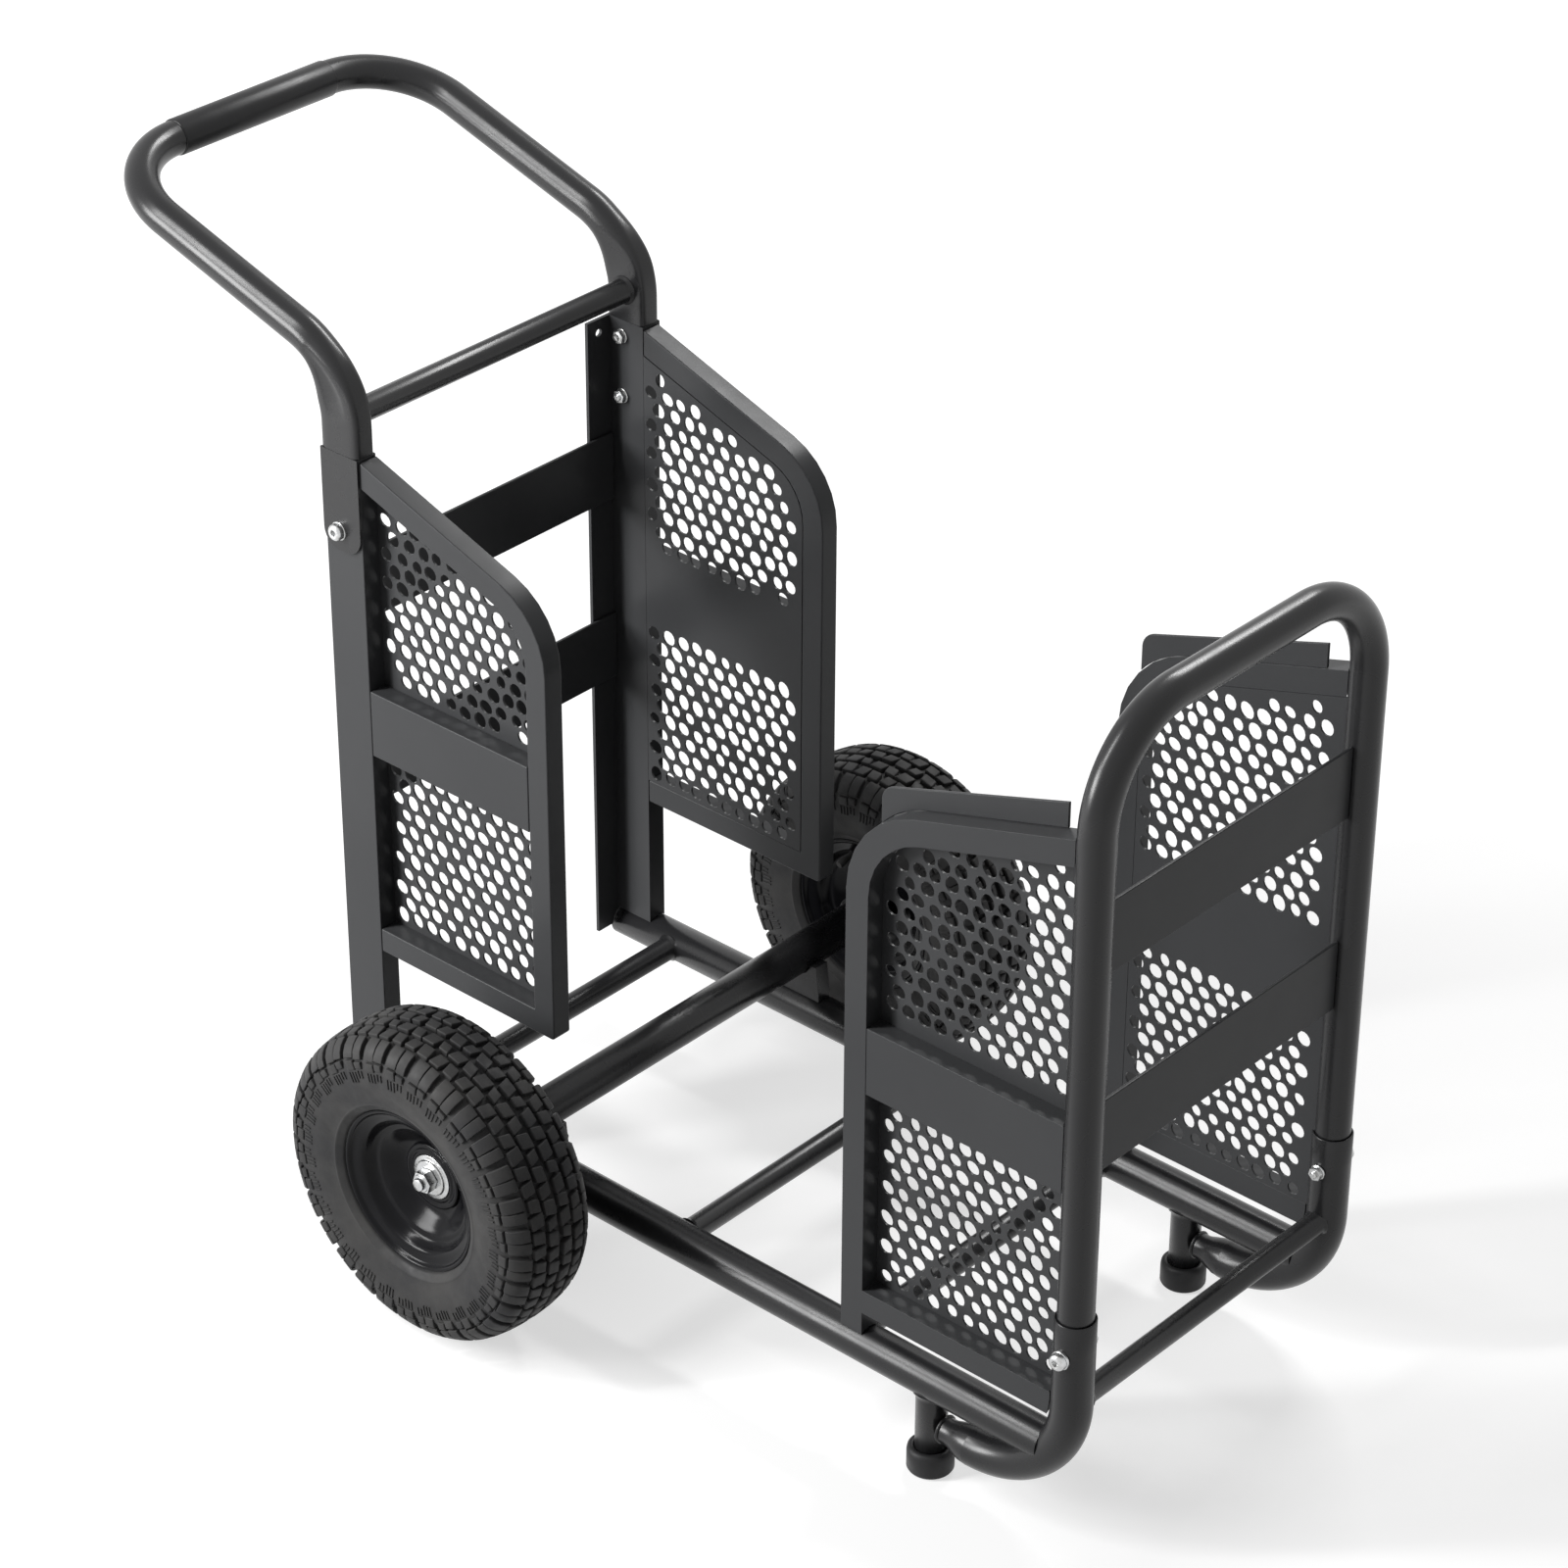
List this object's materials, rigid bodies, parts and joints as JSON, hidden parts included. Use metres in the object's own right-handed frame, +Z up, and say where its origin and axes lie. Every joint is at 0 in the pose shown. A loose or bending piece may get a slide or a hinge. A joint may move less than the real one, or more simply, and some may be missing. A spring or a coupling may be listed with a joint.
{
  "type": "log cart",
  "caption": "Two-wheeled steel log trolley with a looped push handle, perforated side frames, an upright front hoop and two short front feet.",
  "frame": {"origin": "middle of the cart's outer box on the floor", "axes": "+X from the push handle to the front hoop, +Y to the cart's left side, +Z up"},
  "size_m": [1.0242, 0.622, 0.8276],
  "materials": {
    "charcoal_steel": "satin charcoal powder coat",
    "black_steel": "satin black powder coat",
    "gloss_rim": "gloss black enamel",
    "grip": "smooth black grip sleeve",
    "foot_rubber": "moulded black cap",
    "tyre": "dark grey tyre rubber",
    "zinc": "bright zinc plate"
  },
  "bodies": {
    "cart": {"handle_tube": "black_steel", "handle_cross_bar": "black_steel", "handle_tongue_left": "black_steel", "handle_tongue_right": "black_steel", "handle_grip": "grip", "handle_bolt_lower_left": "zinc", "handle_bolt_lower_right": "zinc", "handle_bolt_upper_left": "zinc", "handle_bolt_upper_right": "zinc", "socket_bolt_left": "zinc", "socket_bolt_right": "zinc", "axle_rod": "zinc", "axle_washer_left": "zinc", "axle_washer_right": "zinc", "axle_nut_left": "zinc", "axle_nut_right": "zinc", "rear_post_left": "charcoal_steel", "rear_post_right": "charcoal_steel", "rear_wing_frame_left": "charcoal_steel", "rear_wing_frame_right": "charcoal_steel", "rear_wing_mid_plate_left": "charcoal_steel", "rear_wing_mid_plate_right": "charcoal_steel", "rear_panel_left": "charcoal_steel", "rear_panel_right": "charcoal_steel", "rear_strap_upper": "charcoal_steel", "rear_strap_lower": "charcoal_steel", "front_hoop": "black_steel", "front_strap_upper": "charcoal_steel", "front_strap_lower": "charcoal_steel", "front_wing_frame_left": "charcoal_steel", "front_wing_frame_right": "charcoal_steel", "front_wing_mid_plate_left": "charcoal_steel", "front_wing_mid_plate_right": "charcoal_steel", "front_panel_left": "charcoal_steel", "front_panel_right": "charcoal_steel", "front_wing_lip_left": "charcoal_steel", "front_wing_lip_right": "charcoal_steel", "bottom_rail_left": "black_steel", "bottom_rail_right": "black_steel", "front_socket_left": "black_steel", "front_socket_right": "black_steel", "foot_post_left": "black_steel", "foot_post_right": "black_steel", "front_cross_tube": "black_steel", "deck_bar_1": "black_steel", "deck_bar_2": "black_steel", "deck_bar_3": "black_steel", "axle_tube": "black_steel", "axle_bracket_left": "black_steel", "axle_bracket_right": "black_steel", "foot_cap_left": "foot_rubber", "foot_cap_right": "foot_rubber"},
    "wheel_left": {"tyre_left": "tyre", "rim_left": "gloss_rim", "wheel_hub_left": "gloss_rim"},
    "wheel_right": {"tyre_right": "tyre", "rim_right": "gloss_rim", "wheel_hub_right": "gloss_rim"}
  },
  "joints": [
    {"name": "wheel_left_spin", "type": "hinge", "parent": "cart", "child": "wheel_left", "pos_m": [-0.0458, 0.268, 0.134], "axis": [0, 1, 0], "continuous": true},
    {"name": "wheel_right_spin", "type": "hinge", "parent": "cart", "child": "wheel_right", "pos_m": [-0.0458, -0.268, 0.134], "axis": [0, 1, 0], "continuous": true}
  ]
}
